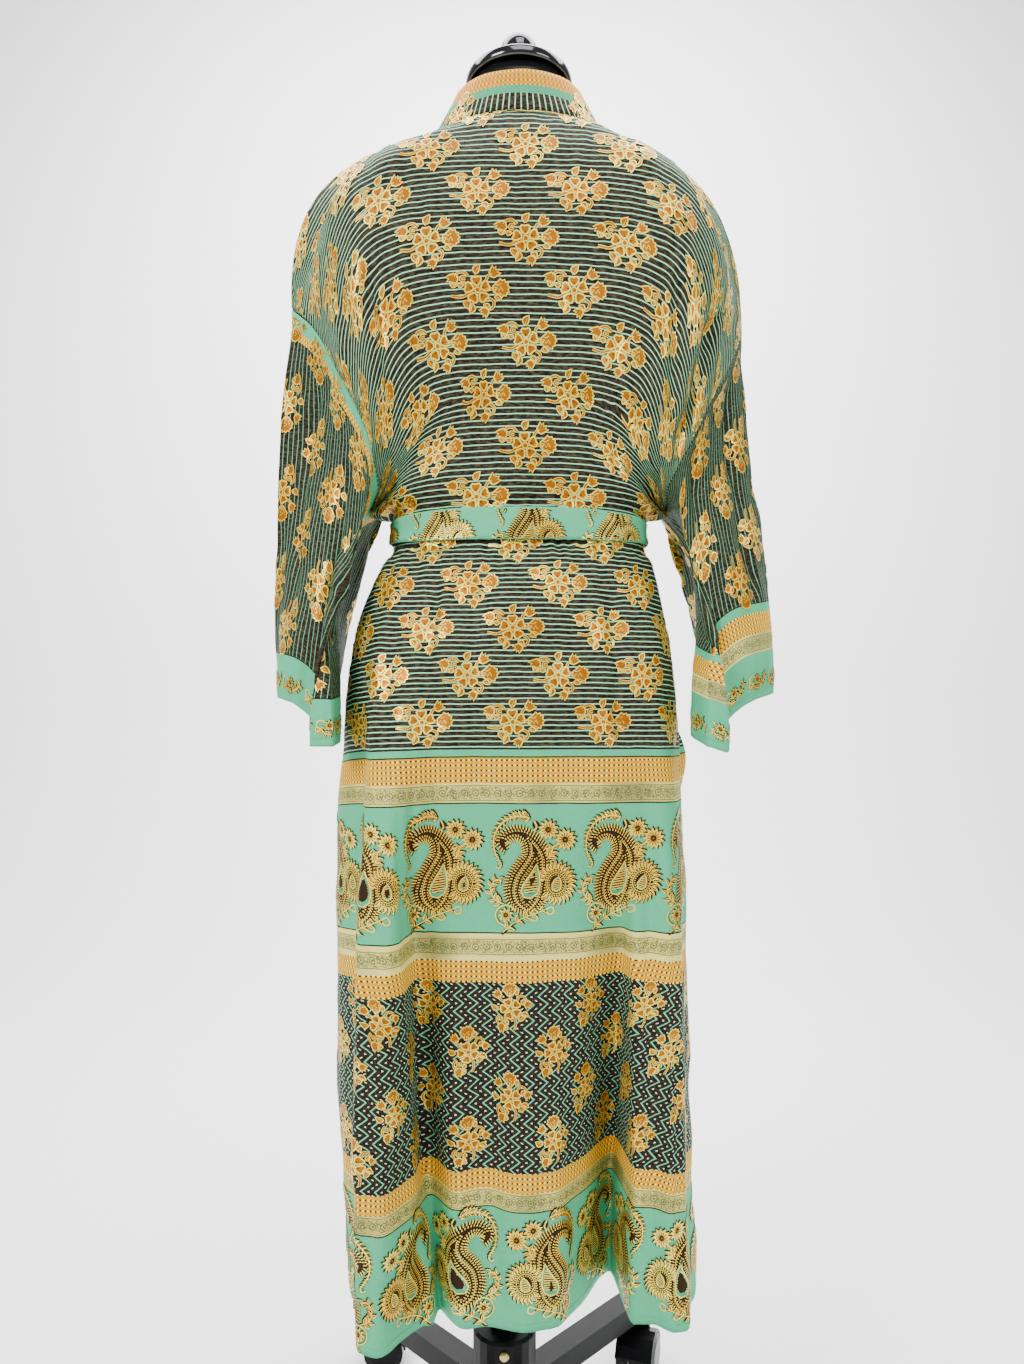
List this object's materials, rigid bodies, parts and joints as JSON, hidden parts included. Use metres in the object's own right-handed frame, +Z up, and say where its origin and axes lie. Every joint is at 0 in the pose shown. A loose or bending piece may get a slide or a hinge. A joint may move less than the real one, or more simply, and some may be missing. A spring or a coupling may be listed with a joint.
{
  "type": "kimono robe with a limbless dress form and rolling stand",
  "caption": "Long wide-sleeved kimono robe in a flower-and-paisley border print, with neckband and tied belt, worn by a limbless dress form on a rolling stand.",
  "frame": {"origin": "on the floor under the middle of the robe", "axes": "+Z up, +Y towards the front of the robe, +X towards the wearer's right"},
  "size_m": [0.5512, 0.4076, 1.5929],
  "materials": {
    "print": "matte with gold print",
    "band": "matte",
    "belt": "matte with gold print",
    "form": "satin black",
    "chrome": "polished",
    "brass": "polished",
    "stand": "satin black",
    "castor": "gloss black",
    "wheel": "black with pale rings"
  },
  "bodies": {
    "base": {"hub": "stand", "hub_collar": "chrome", "clamp_screw": "brass", "leg_front_right": "stand", "leg_front_left": "stand", "leg_back_left": "stand", "leg_back_right": "stand"},
    "mast": {"pole": "chrome"},
    "figure": {"torso_form": "form", "neck_plate": "chrome", "neck_ball": "chrome", "back_panel": "print", "left_front": "print", "right_front": "print", "left_sleeve": "print", "right_sleeve": "print", "neckband": "band", "belt": "belt", "belt_knot": "belt", "belt_tail_left": "belt", "belt_tail_right": "belt"},
    "castor_front_right": {"castor_front_right": "castor"},
    "wheels_front_right": {"wheels_front_right": "wheel"},
    "castor_front_left": {"castor_front_left": "castor"},
    "wheels_front_left": {"wheels_front_left": "wheel"},
    "castor_back_left": {"castor_back_left": "castor"},
    "wheels_back_left": {"wheels_back_left": "wheel"},
    "castor_back_right": {"castor_back_right": "castor"},
    "wheels_back_right": {"wheels_back_right": "wheel"}
  },
  "joints": [
    {"name": "mast_height", "type": "slide", "parent": "base", "child": "mast", "axis": [0, 0, 1], "range_m": [0, 0.05]},
    {"name": "figure_turn", "type": "hinge", "parent": "mast", "child": "figure", "pos_m": [-0.016, 0, 0.75], "axis": [0, 0, 1], "continuous": true},
    {"name": "swivel_front_right", "type": "hinge", "parent": "base", "child": "castor_front_right", "pos_m": [0.15795, 0.17395, 0.06], "axis": [0, 0, 1], "continuous": true},
    {"name": "axle_front_right", "type": "hinge", "parent": "castor_front_right", "child": "wheels_front_right", "pos_m": [0.15111, 0.15515, 0.025], "axis": [0.9397, -0.342, 0], "continuous": true},
    {"name": "swivel_front_left", "type": "hinge", "parent": "base", "child": "castor_front_left", "pos_m": [-0.18995, 0.17395, 0.06], "axis": [0, 0, 1], "continuous": true},
    {"name": "axle_front_left", "type": "hinge", "parent": "castor_front_left", "child": "wheels_front_left", "pos_m": [-0.16995, 0.17395, 0.025], "axis": [0, 1, 0], "continuous": true},
    {"name": "swivel_back_left", "type": "hinge", "parent": "base", "child": "castor_back_left", "pos_m": [-0.18995, -0.17395, 0.06], "axis": [0, 0, 1], "continuous": true},
    {"name": "axle_back_left", "type": "hinge", "parent": "castor_back_left", "child": "wheels_back_left", "pos_m": [-0.17063, -0.17913, 0.025], "axis": [0.2588, 0.9659, 0], "continuous": true},
    {"name": "swivel_back_right", "type": "hinge", "parent": "base", "child": "castor_back_right", "pos_m": [0.15795, -0.17395, 0.06], "axis": [0, 0, 1], "continuous": true},
    {"name": "axle_back_right", "type": "hinge", "parent": "castor_back_right", "child": "wheels_back_right", "pos_m": [0.17764, -0.17047, 0.025], "axis": [-0.1736, 0.9848, 0], "continuous": true}
  ]
}
